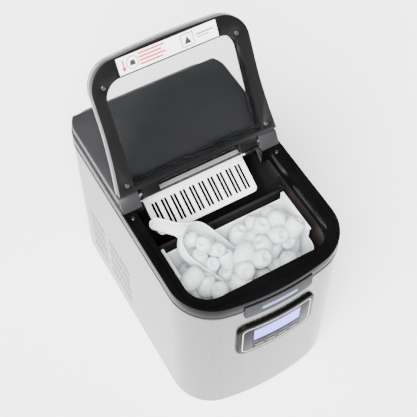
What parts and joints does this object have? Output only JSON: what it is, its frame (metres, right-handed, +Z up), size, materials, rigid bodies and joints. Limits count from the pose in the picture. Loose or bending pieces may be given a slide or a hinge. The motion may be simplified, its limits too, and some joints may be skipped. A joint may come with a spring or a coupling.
{
  "type": "countertop ice maker",
  "caption": "Countertop ice maker with a hinged windowed lid, lift-out ice basket and scoop, sliding ice shovel, tilting water tray and side vents.",
  "frame": {"origin": "on the table under the middle of the body's footprint", "axes": "+Z up, -Y towards the front with the control panel, X to the sides; rest pose has the lid open"},
  "size_m": [0.2442, 0.388, 0.4693],
  "materials": {
    "base_pan": "galvanised sheet",
    "rubber_feet": "matt",
    "outer_casing": "fine upright brushing",
    "rear_panel": "satin grey",
    "top_frame": "gloss black",
    "frame_trim": "satin grey",
    "rear_top_cover": "satin charcoal",
    "cover_trim": "bright line",
    "hinge_pins": "plain",
    "panel_housing": "gloss black",
    "panel_border": "silver line",
    "lcd_display": "lit display, lavender",
    "display_board": "green board",
    "badge_strip": "satin grey",
    "badge_light": "blue light guide",
    "inner_tank": "satin dark grey",
    "tank_divider": "satin grey",
    "tank_insulation": "foam",
    "tray_motor": "plain",
    "motor_bracket": "zinc plated",
    "evaporator_tube": "copper tube",
    "freezing_fingers": "nickel plated",
    "evaporator_cover": "satin",
    "splash_rail": "satin",
    "rail_strip": "light grey",
    "compressor": "gloss black enamel",
    "compressor_grommets": "matt",
    "condenser": "bare fins",
    "fan_shroud": "satin black",
    "fan_motor": "plain",
    "filter_drier": "copper",
    "refrigerant_pipes": "copper tube",
    "hot_gas_valve": "plain",
    "water_pump": "satin grey",
    "water_hoses": "clear silicone",
    "drain_seal": "matt",
    "circuit_board": "green board",
    "board_box": "satin black",
    "mains_inlet": "black, brass pins",
    "ice_sensors": "gloss black",
    "water_level_sensor": "plain",
    "frame_screws": "plain",
    "casing_screws": "plain",
    "lid_outer_shell": "satin charcoal",
    "lid_inner_frame": "satin black",
    "lid_window": "clear, lightly smoked",
    "lid_trim": "bright edge line",
    "lid_screws": "plain",
    "lid_label": "white label",
    "ice_basket": "translucent white",
    "ice_scoop": "translucent white",
    "ice_shovel": "white",
    "water_tray": "dark grey",
    "fan_rotor": "satin black",
    "pump_impeller": "plain",
    "drain_plug": "matt",
    "button_1": "satin",
    "button_2": "satin",
    "button_3": "satin",
    "button_4": "satin"
  },
  "bodies": {
    "cabinet": {"base_pan": "base_pan", "rubber_feet": "rubber_feet", "outer_casing": "outer_casing", "rear_panel": "rear_panel", "top_frame": "top_frame", "frame_trim": "frame_trim", "rear_top_cover": "rear_top_cover", "cover_trim": "cover_trim", "hinge_pins": "hinge_pins", "panel_housing": "panel_housing", "panel_border": "panel_border", "lcd_display": "lcd_display", "display_board": "display_board", "badge_strip": "badge_strip", "badge_light": "badge_light", "inner_tank": "inner_tank", "tank_divider": "tank_divider", "tank_insulation": "tank_insulation", "tray_motor": "tray_motor", "motor_bracket": "motor_bracket", "evaporator_tube": "evaporator_tube", "freezing_fingers": "freezing_fingers", "evaporator_cover": "evaporator_cover", "splash_rail": "splash_rail", "rail_strip": "rail_strip", "compressor": "compressor", "compressor_grommets": "compressor_grommets", "condenser": "condenser", "fan_shroud": "fan_shroud", "fan_motor": "fan_motor", "filter_drier": "filter_drier", "refrigerant_pipes": "refrigerant_pipes", "hot_gas_valve": "hot_gas_valve", "water_pump": "water_pump", "water_hoses": "water_hoses", "drain_seal": "drain_seal", "circuit_board": "circuit_board", "board_box": "board_box", "mains_inlet": "mains_inlet", "ice_sensors": "ice_sensors", "water_level_sensor": "water_level_sensor", "frame_screws": "frame_screws", "casing_screws": "casing_screws"},
    "lid": {"lid_outer_shell": "lid_outer_shell", "lid_inner_frame": "lid_inner_frame", "lid_window": "lid_window", "lid_trim": "lid_trim", "lid_screws": "lid_screws", "lid_label": "lid_label"},
    "basket": {"ice_basket": "ice_basket"},
    "scoop": {"ice_scoop": "ice_scoop"},
    "shovel": {"ice_shovel": "ice_shovel"},
    "tray": {"water_tray": "water_tray"},
    "fan": {"fan_rotor": "fan_rotor"},
    "impeller": {"pump_impeller": "pump_impeller"},
    "plug": {"drain_plug": "drain_plug"},
    "button_1": {"button_1": "button_1"},
    "button_2": {"button_2": "button_2"},
    "button_3": {"button_3": "button_3"},
    "button_4": {"button_4": "button_4"}
  },
  "joints": [
    {"name": "lid_hinge", "type": "hinge", "parent": "cabinet", "child": "lid", "pos_m": [0, 0.016, 0.2963], "axis": [-1, 0, 0], "range_deg": [-119.3, 0]},
    {"name": "basket_lift", "type": "slide", "parent": "cabinet", "child": "basket", "axis": [0, 0, 1], "range_m": [0, 0.25]},
    {"name": "scoop_lift", "type": "slide", "parent": "basket", "child": "scoop", "axis": [0, 0, 1], "range_m": [0, 0.2]},
    {"name": "tray_tilt", "type": "hinge", "parent": "cabinet", "child": "tray", "pos_m": [0, 0.099, 0.22], "axis": [1, 0, 0], "range_deg": [0, 35]},
    {"name": "shovel_swing", "type": "hinge", "parent": "cabinet", "child": "shovel", "pos_m": [0, 0.036, 0.251], "axis": [1, 0, 0], "range_deg": [0, 50]},
    {"name": "fan_spin", "type": "hinge", "parent": "cabinet", "child": "fan", "pos_m": [0, 0.093, 0.082], "axis": [1, 0, 0], "continuous": true},
    {"name": "impeller_spin", "type": "hinge", "parent": "cabinet", "child": "impeller", "pos_m": [-0.06, -0.04, 0], "axis": [0, 0, 1], "continuous": true},
    {"name": "drain_plug_pull", "type": "slide", "parent": "cabinet", "child": "plug", "axis": [0, 1, 0], "range_m": [0, 0.03]},
    {"name": "button_1_press", "type": "slide", "parent": "cabinet", "child": "button_1", "axis": [0, 1, 0], "range_m": [0, 0.0012], "stiffness_N_per_m": 400},
    {"name": "button_2_press", "type": "slide", "parent": "cabinet", "child": "button_2", "axis": [0, 1, 0], "range_m": [0, 0.0012], "stiffness_N_per_m": 400},
    {"name": "button_3_press", "type": "slide", "parent": "cabinet", "child": "button_3", "axis": [0, 1, 0], "range_m": [0, 0.0012], "stiffness_N_per_m": 400},
    {"name": "button_4_press", "type": "slide", "parent": "cabinet", "child": "button_4", "axis": [0, 1, 0], "range_m": [0, 0.0012], "stiffness_N_per_m": 400}
  ],
  "couplings": [
    {"joint": "shovel_swing", "follows": "tray_tilt", "ratio": 1.4286}
  ]
}
